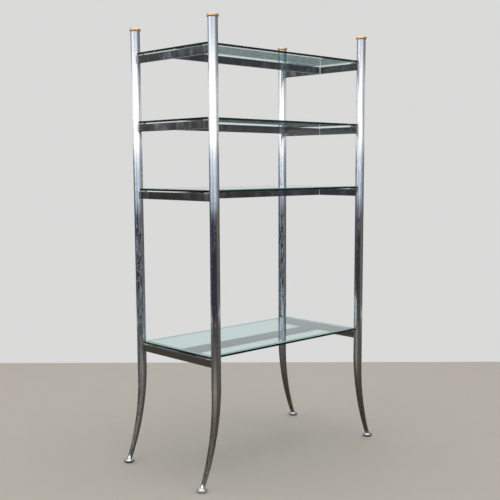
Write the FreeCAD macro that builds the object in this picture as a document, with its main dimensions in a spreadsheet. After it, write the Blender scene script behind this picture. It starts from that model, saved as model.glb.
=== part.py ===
import FreeCAD, Part
import math
import os
import re

import Sketcher
from FreeCAD import Placement, Rotation, Vector

# An etagere: four chrome posts with tapered sabre legs, rails welded between them, and loose glass shelves.
# X runs along the width, Y from front to back and Z up, in millimetres, from the floor under the middle.

# Driving dimensions
SIZES = {
    # Overall layout, measured to the posts' axes
    "overall_height": 1518,
    "post_span_x": 714,
    "post_span_y": 405,
    # Posts and their legs
    "tube_diameter": 32,
    "tube_wall": 1.6,
    "bend_height": 330,
    "bend_radius": 826,
    "leg_end_height": 24,
    "leg_end_diameter": 15.5,
    "leg_rings": 8,
    # Brass caps
    "cap_diameter": 39,
    "cap_height": 11.5,
    "cap_spigot_length": 20,
    "spigot_clearance": 0.15,
    # Ball feet
    "foot_diameter": 34.5,
    "foot_rim_radius": 4.5,
    "foot_crown_radius": 33,
    "foot_flat_radius": 8,
    "neck_root_diameter": 22,
    "neck_root_height": 6,
    # Rails and their welds
    "rail_height": 25,
    "rail_thickness": 10,
    "rail_edge_chamfer": 1.2,
    "weld_bead": 4,
    # Pads under the glass
    "pad_length": 25,
    "pad_width": 8,
    "pad_thickness": 3.5,
    "pad_offset": 32,
    # Glass shelves
    "glass_thickness": 8,
    "glass_end_reach": 6,
    "glass_corner_radius": 4,
    "glass_arris": 1.2,
    # Levels of the shelves' top faces: three hang from the top of the stand, one stands from the floor
    "top_shelf_drop": 82,
    "top_bay_pitch": 230,
    "upper_bay_pitch": 230,
    "lower_shelf_height": 436,
    # Clearances
    "weld_gap": 0.1,
    "rest_gap": 0.1,
    "glass_post_clearance": 2.5,
}

LEVELS = {
    "top": "(overall_height - top_shelf_drop)",
    "upper": "(overall_height - top_shelf_drop - top_bay_pitch)",
    "middle": "(overall_height - top_shelf_drop - top_bay_pitch - upper_bay_pitch)",
    "lower": "lower_shelf_height",
}
ENDS = {"front": -1, "back": 1}
SIDES = {"left": -1, "right": 1}

# Sizes that follow from the driving ones
POST_TOP = "(overall_height - cap_height)"
TUBE_RADIUS = "(tube_diameter / 2)"
LEG_END_RADIUS = "(leg_end_diameter / 2)"
LEG_ANGLE = "asin((bend_height - leg_end_height) / bend_radius)"
LEG_REACH = f"(bend_radius * (1 - cos({LEG_ANGLE})))"
FOOT_RIM_REACH = "(foot_diameter / 2 - foot_rim_radius)"
CROWN_RISE = f"sqrt((foot_crown_radius - foot_rim_radius) ^ 2 - {FOOT_RIM_REACH} ^ 2)"
FOOT_CENTRE = f"(sqrt(foot_crown_radius ^ 2 - foot_flat_radius ^ 2) - {CROWN_RISE})"
FOOT_REACH = f"({LEG_REACH} + (leg_end_height - {FOOT_CENTRE}) * tan({LEG_ANGLE}))"
COPE_RADIUS = f"({TUBE_RADIUS} + weld_gap)"
BEAD_HEIGHT = "(rail_height - 2 * rail_edge_chamfer)"
LONG_RAIL_HALF = "(post_span_x / 2 - rail_thickness / 2 - weld_gap)"

doc = FreeCAD.newDocument("etagere")
sheet = doc.addObject("Spreadsheet::Sheet", "Sizes")
for row, (name, value) in enumerate(SIZES.items(), start=1):
    sheet.set(f"A{row}", name)
    sheet.set(f"B{row}", str(value))
    sheet.setAlias(f"B{row}", name)
doc.recompute()


def bind(text):
    """Returns the expression with each size written as its cell in the sheet."""
    return re.sub(r"[a-z_]+", lambda word: f"Sizes.{word[0]}" if word[0] in SIZES else word[0], text)


def measure(text):
    """Returns the value of an expression over the sizes."""
    value = sheet.evalExpression(bind(text))
    return float(getattr(value, "Value", value))


def tie(item, **expressions):
    """Binds properties of an object to expressions over the sizes; __ in a name stands for a dot."""
    for name, text in expressions.items():
        item.setExpression(name.replace("__", "."), bind(text))


def new_body(label, x="0", y="0", z="0", turn=0):
    """Returns an empty body with its place in the part tied to the sizes."""
    body = doc.addObject("PartDesign::Body", label)
    body.Label = label
    body.Placement = Placement(Vector(measure(x), measure(y), measure(z)), Rotation(Vector(0, 0, 1), turn))
    tie(body, Placement__Base__x=x, Placement__Base__y=y, Placement__Base__z=z)
    return body


def new_sketch(body, name, role, x="0", y="0", z="0", axis=(0, 0, 1), turn="0"):
    """Returns a sketch on one of the body's own planes, moved and turned within that plane's frame."""
    sketch = body.newObject("Sketcher::SketchObject", name)
    plane = next(item for item in body.Origin.OriginFeatures if item.Role == role)
    sketch.AttachmentSupport = (plane, [""])
    sketch.MapMode = "FlatFace"
    place = Vector(measure(x), measure(y), measure(z))
    sketch.AttachmentOffset = Placement(place, Rotation(Vector(*axis), measure(turn)))
    tie(sketch, AttachmentOffset__Base__x=x, AttachmentOffset__Base__y=y, AttachmentOffset__Base__z=z)
    if turn != "0":
        tie(sketch, AttachmentOffset__Rotation__Angle=turn)
    return sketch


def dimension(sketch, kind, item, point, text):
    """Adds a dimension whose value is tied to an expression."""
    details = (item, measure(text)) if point is None else (item, point, measure(text))
    index = sketch.addConstraint(Sketcher.Constraint(kind, *details))
    sketch.setExpression(f"Constraints[{index}]", bind(text))


def set_out(sketch, item, point, x=None, y=None):
    """Fixes a point of a sketch by the coordinates given."""
    for kind, axis, text in (("DistanceX", -2, x), ("DistanceY", -1, y)):
        if text == "0":
            sketch.addConstraint(Sketcher.Constraint("PointOnObject", item, point, axis))
        elif text is not None:
            dimension(sketch, kind, item, point, text)


def draw_circle(sketch, radius, x="0", y="0"):
    """Draws a circle about a centre."""
    centre = Vector(measure(x), measure(y), 0)
    item = sketch.addGeometry(Part.Circle(centre, Vector(0, 0, 1), measure(radius)))
    set_out(sketch, item, 3, x, y)
    dimension(sketch, "Radius", item, None, radius)


def draw_outline(sketch, corners):
    """Draws a closed outline and fixes its corners from the sizes.

    A corner is (x, y), reached by a line, or (x, y, centre x, centre y, turn), reached by an arc about that
    centre, where turn is 1 anticlockwise and -1 clockwise. The side back to the first corner is a line.
    """
    spots = [Vector(measure(corner[0]), measure(corner[1]), 0) for corner in corners]
    sides = []
    for index, corner in enumerate(corners[1:] + corners[:1]):
        begin = spots[index]
        end = spots[(index + 1) % len(spots)]
        if len(corner) == 2:
            sides.append((sketch.addGeometry(Part.LineSegment(begin, end)), 1, 2))
            continue
        centre = Vector(measure(corner[2]), measure(corner[3]), 0)
        around = (begin, end) if corner[4] > 0 else (end, begin)
        angles = [math.atan2(spot.y - centre.y, spot.x - centre.x) for spot in around]
        circle = Part.Circle(centre, Vector(0, 0, 1), begin.distanceToPoint(centre))
        item = sketch.addGeometry(Part.ArcOfCircle(circle, *angles))
        sides.append((item, 1, 2) if corner[4] > 0 else (item, 2, 1))
    for side, following in zip(sides, sides[1:] + sides[:1]):
        sketch.addConstraint(Sketcher.Constraint("Coincident", side[0], side[2], following[0], following[1]))
    set_out(sketch, sides[0][0], sides[0][1], *corners[0])
    for corner, spot, side in zip(corners[1:], spots[1:], sides):
        if len(corner) == 2:
            set_out(sketch, side[0], side[2], *corner)
            continue
        # The radius settles one coordinate of an arc's end, so only the one along the arc is given
        set_out(sketch, side[0], 3, corner[2], corner[3])
        if abs(spot.x - measure(corner[2])) < abs(spot.y - measure(corner[3])):
            set_out(sketch, side[0], side[2], x=corner[0])
        else:
            set_out(sketch, side[0], side[2], y=corner[1])


def draw_rounded(sketch, left, right, low, high, radius):
    """Draws a rectangle with rounded corners."""
    inner_left = f"({left} + {radius})"
    inner_right = f"({right} - {radius})"
    inner_low = f"({low} + {radius})"
    inner_high = f"({high} - {radius})"
    draw_outline(
        sketch,
        [
            (left, inner_low),
            (inner_left, low, inner_left, inner_low, 1),
            (inner_right, low),
            (right, inner_low, inner_right, inner_low, 1),
            (right, inner_high),
            (inner_right, high, inner_right, inner_high, 1),
            (inner_left, high),
            (left, inner_high, inner_left, inner_high, 1),
        ],
    )


def draw_bar_section(sketch):
    """Draws the section of a flat bar with its four edges eased, standing on the sketch's first axis."""
    side = "(rail_thickness / 2)"
    flat = f"({side} - rail_edge_chamfer)"
    high = "(rail_height - rail_edge_chamfer)"
    draw_outline(
        sketch,
        [
            (f"-{flat}", "0"),
            (flat, "0"),
            (side, "rail_edge_chamfer"),
            (side, high),
            (flat, "rail_height"),
            (f"-{flat}", "rail_height"),
            (f"-{side}", high),
            (f"-{side}", "rail_edge_chamfer"),
        ],
    )


def pad(body, name, sketch, length):
    """Pads a sketch along its normal."""
    feature = body.newObject("PartDesign::Pad", name)
    feature.Profile = sketch
    feature.Length = measure(length)
    tie(feature, Length=length)
    return feature


def revolve(body, name, sketch):
    """Revolves a sketch about its own upright axis."""
    feature = body.newObject("PartDesign::Revolution", name)
    feature.Profile = sketch
    feature.ReferenceAxis = (sketch, ["V_Axis"])
    feature.Angle = 360
    return feature


def level_edges(feature, heights):
    """Returns the names of a feature's level edges at the given heights in its body."""
    doc.recompute()
    names = []
    for index, edge in enumerate(feature.Shape.Edges, start=1):
        box = edge.BoundBox
        if any(abs(box.ZMin - height) < 0.001 and abs(box.ZMax - height) < 0.001 for height in heights):
            names.append(f"Edge{index}")
    return names


def at_post(side, end):
    """Returns where a post stands, as two expressions."""
    return f"{SIDES[side]} * post_span_x / 2", f"{ENDS[end]} * post_span_y / 2"


def outward(side):
    """Returns the turn about Z that points a leg away from the middle."""
    return 180 if side == "left" else 0


def rail_base(level):
    """Returns the height of the underside of a level's rails."""
    return f"({LEVELS[level]} - glass_thickness - rest_gap - pad_thickness - rail_height)"


def make_post(side, end):
    """A straight tube on a solid sabre leg that tapers, curves outward and ends in a ball foot."""
    x, y = at_post(side, end)
    body = new_body(f"post_{end}_{side}", x, y, turn=outward(side))
    add_leg(body)
    add_foot(body)
    tube = new_sketch(body, "tube_ring", "XY_Plane", z="bend_height")
    draw_circle(tube, TUBE_RADIUS)
    draw_circle(tube, f"{TUBE_RADIUS} - tube_wall")
    pad(body, "straight_tube", tube, f"{POST_TOP} - bend_height")
    return body


def add_leg(body):
    """Lofts the leg through rings that turn along the bend and shrink evenly towards the foot."""
    rings = []
    for index in range(int(measure("leg_rings")) + 1):
        share = f"({index} / leg_rings)"
        angle = f"({LEG_ANGLE} * {share})"
        ring = new_sketch(
            body,
            f"leg_ring_{index}",
            "XY_Plane",
            x=f"bend_radius * (1 - cos({angle}))",
            z=f"bend_height - bend_radius * sin({angle})",
            axis=(0, -1, 0),
            turn=angle if index else "0",
        )
        draw_circle(ring, f"{TUBE_RADIUS} - ({TUBE_RADIUS} - {LEG_END_RADIUS}) * {share}")
        rings.append(ring)
    leg = body.newObject("PartDesign::AdditiveLoft", "leg")
    leg.Profile = rings[0]
    leg.Sections = rings[1:]
    leg.Ruled = True


def add_foot(body):
    """Turns a flattened ball with a flat underneath, and a flared neck that leans back along the leg."""
    low_centre = f"({FOOT_CENTRE} + {CROWN_RISE})"
    high_centre = f"({FOOT_CENTRE} - {CROWN_RISE})"
    meet = f"atan({CROWN_RISE} / {FOOT_RIM_REACH})"
    crown_end = f"{FOOT_RIM_REACH} + foot_rim_radius * cos({meet})"
    rim = [
        (crown_end, f"{FOOT_CENTRE} - foot_rim_radius * sin({meet})"),
        ("foot_diameter / 2", f"{FOOT_CENTRE} - foot_rim_radius * sin({meet} / 3)"),
        ("foot_diameter / 2", f"{FOOT_CENTRE} + foot_rim_radius * sin({meet} / 3)"),
        (crown_end, f"{FOOT_CENTRE} + foot_rim_radius * sin({meet})"),
    ]
    ball = new_sketch(body, "ball_profile", "XZ_Plane", x=FOOT_REACH)
    draw_outline(
        ball,
        [("0", "0"), ("foot_flat_radius", "0"), (*rim[0], "0", low_centre, 1)]
        + rim[1:]
        + [("0", f"{high_centre} + foot_crown_radius", "0", high_centre, 1)],
    )
    revolve(body, "ball", ball)
    top = f"((leg_end_height - {FOOT_CENTRE}) / cos({LEG_ANGLE}))"
    root = "(neck_root_diameter / 2)"
    step = f"({root} - {LEG_END_RADIUS})"
    flare = f"((({top} - neck_root_height) ^ 2 / {step} + {step}) / 2)"
    angle = f"(asin(({top} - neck_root_height) / {flare}) / 2)"
    neck = new_sketch(body, "neck_profile", "XZ_Plane", x=FOOT_REACH, y=FOOT_CENTRE, turn=LEG_ANGLE)
    draw_outline(
        neck,
        [
            ("0", "0"),
            (root, "0"),
            (root, "neck_root_height"),
            (f"{LEG_END_RADIUS} + {flare} * (1 - cos({angle}))", f"{top} - {flare} * sin({angle})"),
            (LEG_END_RADIUS, top),
            ("0", top),
        ],
    )
    revolve(body, "neck", neck)


def make_cap(side, end):
    """A turned disc, a little wider than the tube, with a spigot that plugs it."""
    x, y = at_post(side, end)
    body = new_body(f"cap_{end}_{side}", x, y, POST_TOP)
    spigot = f"({TUBE_RADIUS} - tube_wall - spigot_clearance)"
    sketch = new_sketch(body, "cap_profile", "XZ_Plane")
    draw_outline(
        sketch,
        [
            ("0", "-cap_spigot_length"),
            (spigot, "-cap_spigot_length"),
            (spigot, "0"),
            ("cap_diameter / 2", "0"),
            ("cap_diameter / 2", "cap_height"),
            ("0", "cap_height"),
        ],
    )
    revolve(body, "turned_cap", sketch)
    return body


def make_end_rail(side, level):
    """A flat bar between the two posts of one end, coped round the tubes and welded to them."""
    body = new_body(f"end_rail_{side}_{level}", f"{SIDES[side]} * post_span_x / 2", z=rail_base(level))
    section = new_sketch(body, "bar_section", "XZ_Plane", z="-post_span_y / 2")
    draw_bar_section(section)
    pad(body, "bar", section, "post_span_y")
    cope = new_sketch(body, "cope_circles", "XY_Plane", z="rail_height")
    for hand in ENDS.values():
        draw_circle(cope, COPE_RADIUS, y=f"{hand} * post_span_y / 2")
    cut = body.newObject("PartDesign::Pocket", "copes")
    cut.Profile = cope
    cut.Type = "ThroughAll"
    # The welds fill the corners between the tubes and the bar's flat sides
    bead = new_sketch(body, "weld_corners", "XY_Plane", z="rail_edge_chamfer")
    near = "(rail_thickness / 2)"
    far = f"({near} + weld_bead)"
    far_y = f"(post_span_y / 2 - sqrt({COPE_RADIUS} ^ 2 - {far} ^ 2))"
    near_y = f"(post_span_y / 2 - sqrt({COPE_RADIUS} ^ 2 - {near} ^ 2))"
    for hand in ENDS.values():
        for face in SIDES.values():
            draw_outline(
                bead,
                [
                    (f"{face} * {near}", f"{hand} * ({far_y} - weld_bead)"),
                    (f"{face} * {far}", f"{hand} * {far_y}"),
                    (f"{face} * {near}", f"{hand} * {near_y}", "0", f"{hand} * post_span_y / 2", -face * hand),
                ],
            )
    pad(body, "welds", bead, BEAD_HEIGHT)
    return body


def make_long_rail(level):
    """A flat bar along the middle of a shelf, welded between the two end rails."""
    body = new_body(f"long_rail_{level}", z=rail_base(level))
    section = new_sketch(body, "bar_section", "YZ_Plane", z=f"-{LONG_RAIL_HALF}")
    draw_bar_section(section)
    pad(body, "bar", section, f"2 * {LONG_RAIL_HALF}")
    bead = new_sketch(body, "weld_corners", "XY_Plane", z="rail_edge_chamfer")
    for hand in SIDES.values():
        for face in ENDS.values():
            draw_outline(
                bead,
                [
                    (f"{hand} * ({LONG_RAIL_HALF} - weld_bead)", f"{face} * rail_thickness / 2"),
                    (f"{hand} * {LONG_RAIL_HALF}", f"{face} * rail_thickness / 2"),
                    (f"{hand} * {LONG_RAIL_HALF}", f"{face} * (rail_thickness / 2 + weld_bead)"),
                ],
            )
    pad(body, "welds", bead, BEAD_HEIGHT)
    return body


def make_pad(level, side, end):
    """A soft strip on an end rail beside a post, for the glass to lie on."""
    x = f"{SIDES[side]} * post_span_x / 2"
    y = f"{ENDS[end]} * (post_span_y / 2 - pad_offset)"
    body = new_body(f"pad_{level}_{end}_{side}", x, y, f"{rail_base(level)} + rail_height")
    sketch = new_sketch(body, "pad_outline", "XY_Plane")
    width = "(pad_width / 2)"
    length = "(pad_length / 2)"
    draw_outline(sketch, [(f"-{width}", f"-{length}"), (width, f"-{length}"), (width, length), (f"-{width}", length)])
    pad(body, "strip", sketch, "pad_thickness")
    return body


def make_glass(level):
    """A loose plate of glass with rounded corners and ground edges, set between the front and back posts."""
    body = new_body(f"glass_{level}", z=f"{LEVELS[level]} - glass_thickness")
    half_x = "(post_span_x / 2 + glass_end_reach)"
    half_y = f"(post_span_y / 2 - {TUBE_RADIUS} - glass_post_clearance)"
    sketch = new_sketch(body, "plate_outline", "XY_Plane")
    draw_rounded(sketch, f"-{half_x}", half_x, f"-{half_y}", half_y, "glass_corner_radius")
    plate = pad(body, "plate", sketch, "glass_thickness")
    ground = body.newObject("PartDesign::Chamfer", "arrises")
    ground.Base = (plate, level_edges(plate, (0, measure("glass_thickness"))))
    ground.Size = measure("glass_arris")
    tie(ground, Size="glass_arris")
    return body


def make_all():
    """Returns every piece of the etagere."""
    corners = [(side, end) for end in ENDS for side in SIDES]
    pieces = [make(side, end) for make in (make_post, make_cap) for side, end in corners]
    for level in LEVELS:
        pieces += [make_end_rail(side, level) for side in SIDES]
        pieces.append(make_long_rail(level))
        pieces += [make_pad(level, side, end) for side, end in corners]
        pieces.append(make_glass(level))
    doc.recompute()
    return pieces


def check(pieces):
    """Stops if any object of the document failed or any piece isn't one valid solid."""
    failed = [item.Name for item in doc.Objects if "Invalid" in item.State or "Error" in item.State]
    if failed:
        raise RuntimeError(f"these objects failed: {failed}")
    for piece in pieces:
        shape = piece.Shape
        if shape.isNull() or not shape.isValid() or len(shape.Solids) != 1:
            raise RuntimeError(f"{piece.Label} isn't one valid solid")


def write(pieces):
    """Writes each piece to a file of its own."""
    os.makedirs("parts", exist_ok=True)
    for piece in pieces:
        piece.Shape.exportStep(f"parts/{piece.Label}.step")


pieces = make_all()
check(pieces)
write(pieces)
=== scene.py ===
import logging
import math
from collections.abc import Callable
from dataclasses import dataclass
from enum import Enum

import bmesh
import bpy
from mathutils import Matrix, Vector


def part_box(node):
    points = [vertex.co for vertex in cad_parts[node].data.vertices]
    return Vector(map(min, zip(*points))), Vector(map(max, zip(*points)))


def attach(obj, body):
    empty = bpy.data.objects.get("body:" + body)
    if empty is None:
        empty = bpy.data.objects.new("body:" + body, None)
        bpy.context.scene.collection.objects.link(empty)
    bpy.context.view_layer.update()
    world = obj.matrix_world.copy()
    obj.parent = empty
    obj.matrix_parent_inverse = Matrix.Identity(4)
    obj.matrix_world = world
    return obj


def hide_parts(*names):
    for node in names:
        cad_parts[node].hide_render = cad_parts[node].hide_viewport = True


# The looks of a chrome and glass etagere: posts with sabre legs, welded rails, brass caps and loose shelves
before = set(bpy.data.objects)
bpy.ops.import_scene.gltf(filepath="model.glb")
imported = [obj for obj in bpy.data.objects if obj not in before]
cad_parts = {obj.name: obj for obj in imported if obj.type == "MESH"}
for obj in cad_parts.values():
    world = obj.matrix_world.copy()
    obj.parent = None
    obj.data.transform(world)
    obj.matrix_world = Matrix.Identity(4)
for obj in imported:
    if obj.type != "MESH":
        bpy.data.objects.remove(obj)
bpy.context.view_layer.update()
LOG = logging.getLogger("etagere")
MM = 0.001

# How far past a rounding a flat gets its own points, which keep it flat to the eye
HOLD = 0.3 * MM
# Edges that turn further than this stay hard
HARD_EDGE = math.radians(38)
# The camera's heading, in radians, which the floor and the surround are square to
VIEW_YAW = 0.767813
# How pale the room is
ROOM_GREY = 0.7

Point = tuple[float, float]
Triple = tuple[float, float, float]
Colour = tuple[float, float, float]
Material = bpy.types.Material
Socket = bpy.types.NodeSocket
Value = Socket | Material | Triple | float


class Side(Enum):
    """An end of the stand, as the word in the CAD nodes' names."""

    LEFT = "left"
    RIGHT = "right"


class Row(Enum):
    """A long side of the stand, as the word in the CAD nodes' names."""

    FRONT = "front"
    BACK = "back"


class Level(Enum):
    """A shelf's level, as the word in the CAD nodes' names."""

    TOP = "top"
    UPPER = "upper"
    MIDDLE = "middle"
    LOWER = "lower"


class Slot(Enum):
    """A material slot of the record."""

    POST = "post_chrome"
    RAIL = "rail_chrome"
    CAP = "cap_brass"
    PAD = "pad_rubber"
    GLASS = "shelf_glass"


# The posts' corners, as the words in the CAD nodes' names
CORNERS = [f"{row.value}_{side.value}" for row in Row for side in Side]


# Meshes


def arc(centre: Point, radius: float, start: float, end: float, steps: int) -> list[Point]:
    """Samples an arc of a profile.

    Args:
        centre: The arc's centre.
        radius: Its radius.
        start: The angle of its first point, in degrees.
        end: The angle of its last point, in degrees.
        steps: How many chords it has.

    Returns:
        The points from start to end, both included.
    """
    turns = [math.radians(start + (end - start) * index / steps) for index in range(steps + 1)]
    return [(centre[0] + radius * math.cos(turn), centre[1] + radius * math.sin(turn)) for turn in turns]


def turned_mesh(name: str, profile: list[Point], sides: int, place: Vector) -> bpy.types.Mesh:
    """Turns a profile about an upright axis into a closed mesh with a UV map in metres.

    Args:
        name: The mesh's name.
        profile: Points of radius and height, from the axis underneath to the axis on top.
        sides: How many faces go round.
        place: Where the axis stands.

    Returns:
        The mesh, with smooth faces.
    """
    shape = bmesh.new()
    layer = shape.loops.layers.uv.new("turning")
    poles = [shape.verts.new(place + Vector((0, 0, point[1]))) for point in (profile[0], profile[-1])]
    turns = [math.tau * index / sides for index in range(sides)]
    rings = []
    for radius, height in profile[1:-1]:
        spots = [Vector((radius * math.cos(turn), radius * math.sin(turn), height)) for turn in turns]
        rings.append([shape.verts.new(place + spot) for spot in spots])
    lengths = [0.0]
    for begin, end in zip(profile, profile[1:]):
        lengths.append(lengths[-1] + math.dist(begin, end))
    reach = max(point[0] for point in profile)
    for index in range(sides):
        following = (index + 1) % sides
        columns = [[poles[0]] + [ring[step] for ring in rings] + [poles[1]] for step in (index, following)]
        for rise in range(len(profile) - 1):
            corners = [(0, rise), (1, rise), (1, rise + 1), (0, rise + 1)]
            if rise == 0:
                corners.pop(1)
            if rise == len(profile) - 2:
                corners.pop(2)
            face = shape.faces.new([columns[column][row] for column, row in corners])
            face.smooth = True
            for loop, (column, row) in zip(face.loops, corners):
                loop[layer].uv = (math.tau * reach * (index + column) / sides, lengths[row])
    return finished_mesh(name, shape)


def lofted_mesh(name: str, rings: list[list[Vector]]) -> bpy.types.Mesh:
    """Joins closed rings of equal count into one skin with both ends closed.

    Args:
        name: The mesh's name.
        rings: The rings, in order along the piece.

    Returns:
        The mesh, with smooth faces.
    """
    shape = bmesh.new()
    rows = [[shape.verts.new(spot) for spot in ring] for ring in rings]
    for row, following in zip(rows, rows[1:]):
        for index in range(len(row)):
            beyond = (index + 1) % len(row)
            shape.faces.new((row[index], row[beyond], following[beyond], following[index]))
    shape.faces.new(list(reversed(rows[0])))
    shape.faces.new(rows[-1])
    for face in shape.faces:
        face.smooth = True
    return finished_mesh(name, shape)


def finished_mesh(name: str, shape: bmesh.types.BMesh) -> bpy.types.Mesh:
    """Turns every face outward, keeps the hard edges hard and writes the mesh.

    Args:
        name: The mesh's name.
        shape: The built shape, which is freed.

    Returns:
        The mesh.
    """
    bmesh.ops.recalc_face_normals(shape, faces=shape.faces)
    mesh = bpy.data.meshes.new(name)
    shape.to_mesh(mesh)
    shape.free()
    mesh.set_sharp_from_angle(angle=HARD_EDGE)
    return mesh


def rounded_section(half_width: float, low: float, high: float, radius: float, steps: int) -> list[Point]:
    """Draws a rectangle with rounded corners, and a point just past each corner that keeps its flats true.

    Args:
        half_width: Half of its width.
        low: The height of its lower side.
        high: The height of its upper side.
        radius: The radius of its corners.
        steps: How many chords a corner has.

    Returns:
        Its points, anticlockwise from the lower right corner.
    """
    side = half_width - radius
    base, head = low + radius, high - radius
    points = []
    for across, height, start in ((side, base, -90), (side, head, 0), (-side, head, 90), (-side, base, 180)):
        bend = arc((across, height), radius, start, start + 90, steps)
        turn = math.radians(start)
        before = (bend[0][0] + HOLD * math.sin(turn), bend[0][1] - HOLD * math.cos(turn))
        after = (bend[-1][0] - HOLD * math.cos(turn), bend[-1][1] - HOLD * math.sin(turn))
        points += [before, *bend, after]
    return points


def new_object(name: str, mesh: bpy.types.Mesh) -> bpy.types.Object:
    """Puts a mesh into the scene, at the origin.

    Args:
        name: The object's name.
        mesh: Its mesh, with its place in its points.

    Returns:
        The object.
    """
    item = bpy.data.objects.new(name, mesh)
    bpy.context.scene.collection.objects.link(item)
    return item


def settle(item: bpy.types.Object, material: Material, body: str, nodes: list[str]) -> None:
    """Dresses a finished piece and hands it to the frame.

    Args:
        item: The piece.
        material: Its finish.
        body: The body it moves with.
        nodes: The CAD nodes that it stands for.
    """
    item.data.materials.clear()
    item.data.materials.append(material)
    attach(item, body)
    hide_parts(*nodes)
    LOG.info("%s rides on %s for %d nodes, %d faces", item.name, body, len(nodes), len(item.data.polygons))


# Node trees


class Wiring:
    """The nodes of one tree, added, joined and set by name."""

    def __init__(self, tree: bpy.types.NodeTree) -> None:
        """Keeps the tree that the nodes go into."""
        self.tree = tree

    def add(self, kind: str, settings: dict[str, str] | None = None, **inputs: Value) -> bpy.types.Node:
        """Adds a node.

        Args:
            kind: The node's type.
            settings: Its own options.
            inputs: A socket to join or a value to set for each input; a name's underscores stand for spaces.

        Returns:
            The node.
        """
        node = self.tree.nodes.new(kind)
        for option, value in (settings or {}).items():
            setattr(node, option, value)
        for name, value in inputs.items():
            self.feed(node.inputs[name.replace("_", " ")], value)
        return node

    def feed(self, socket: Socket, value: Value) -> None:
        """Joins a socket to another one, or sets its value; a colour gets its alpha.

        Args:
            socket: The input.
            value: The socket to join it to, or its value.
        """
        if isinstance(value, Socket):
            self.tree.links.new(value, socket)
        elif socket.type == "RGBA":
            socket.default_value = (*value, 1.0)
        else:
            socket.default_value = value

    def math(self, operation: str, *terms: Value) -> Socket:
        """Adds a sum over sockets and numbers.

        Args:
            operation: The math node's operation.
            terms: Its sockets or numbers, in order.

        Returns:
            The result's socket.
        """
        node = self.add("ShaderNodeMath", {"operation": operation})
        for socket, term in zip(node.inputs, terms):
            self.feed(socket, term)
        return node.outputs[0]


class GeometryTree(Wiring):
    """One geometry node tree with named inputs, which ends in real geometry with its material set."""

    def __init__(self, name: str) -> None:
        """Starts an empty tree with a geometry input and output.

        Args:
            name: The tree's name.
        """
        super().__init__(bpy.data.node_groups.new(name, "GeometryNodeTree"))
        for way in ("INPUT", "OUTPUT"):
            self.tree.interface.new_socket("Geometry", in_out=way, socket_type="NodeSocketGeometry")
        self.entry = self.tree.nodes.new("NodeGroupInput")
        self.exit = self.tree.nodes.new("NodeGroupOutput")
        self.values: dict[str, float | int] = {}

    def size(self, name: str, value: float) -> Socket:
        """Adds a named input for a length or an angle and returns its socket in the tree."""
        return self._input(name, value, "NodeSocketFloat")

    def count(self, name: str, value: int) -> Socket:
        """Adds a named input for a whole number and returns its socket in the tree."""
        return self._input(name, value, "NodeSocketInt")

    def _input(self, name: str, value: float | int, kind: str) -> Socket:
        """Adds an input of the tree.

        Args:
            name: The input's name.
            value: The value that the modifier gets.
            kind: The socket's type.

        Returns:
            The socket that carries the value inside the tree.
        """
        item = self.tree.interface.new_socket(name, in_out="INPUT", socket_type=kind)
        self.values[item.identifier] = value
        return next(socket for socket in self.entry.outputs if socket.identifier == item.identifier)

    def share(self, index: Socket, start: Socket | float, count: Socket) -> Socket:
        """Returns how far an index is through a run that starts at start and has count steps, from 0 to 1."""
        part = self.math("DIVIDE", self.math("SUBTRACT", index, start), count)
        return self.add("ShaderNodeClamp", Value=part).outputs[0]

    def realise(self, geometry: Socket, material: Material, item: bpy.types.Object) -> None:
        """Closes the tree, runs it on an object and leaves the result there as a plain mesh.

        Args:
            geometry: The socket with the whole result.
            material: The finish that the tree sets.
            item: The object whose mesh goes in and whose mesh is replaced.
        """
        solid = self.add("GeometryNodeRealizeInstances", Geometry=geometry)
        dressed = self.add("GeometryNodeSetMaterial", Geometry=solid.outputs[0], Material=material)
        self.feed(self.exit.inputs[0], dressed.outputs[0])
        modifier = item.modifiers.new(self.tree.name, "NODES")
        modifier.node_group = self.tree
        for identifier, value in self.values.items():
            modifier[identifier] = value
        shown = item.evaluated_get(bpy.context.evaluated_depsgraph_get())
        mesh = bpy.data.meshes.new_from_object(shown)
        item.modifiers.remove(modifier)
        item.data = mesh
        mesh.set_sharp_from_angle(angle=HARD_EDGE)


@dataclass(frozen=True)
class Grain:
    """A noise in a finish.

    It has the stretch of its coordinates, its fineness, its count of finer layers and their weight, and the
    span of noise values over which its pattern sets in.
    """

    stretch: Triple
    scale: float
    detail: float
    rough: float
    span: Point = (0.0, 1.0)


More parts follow.
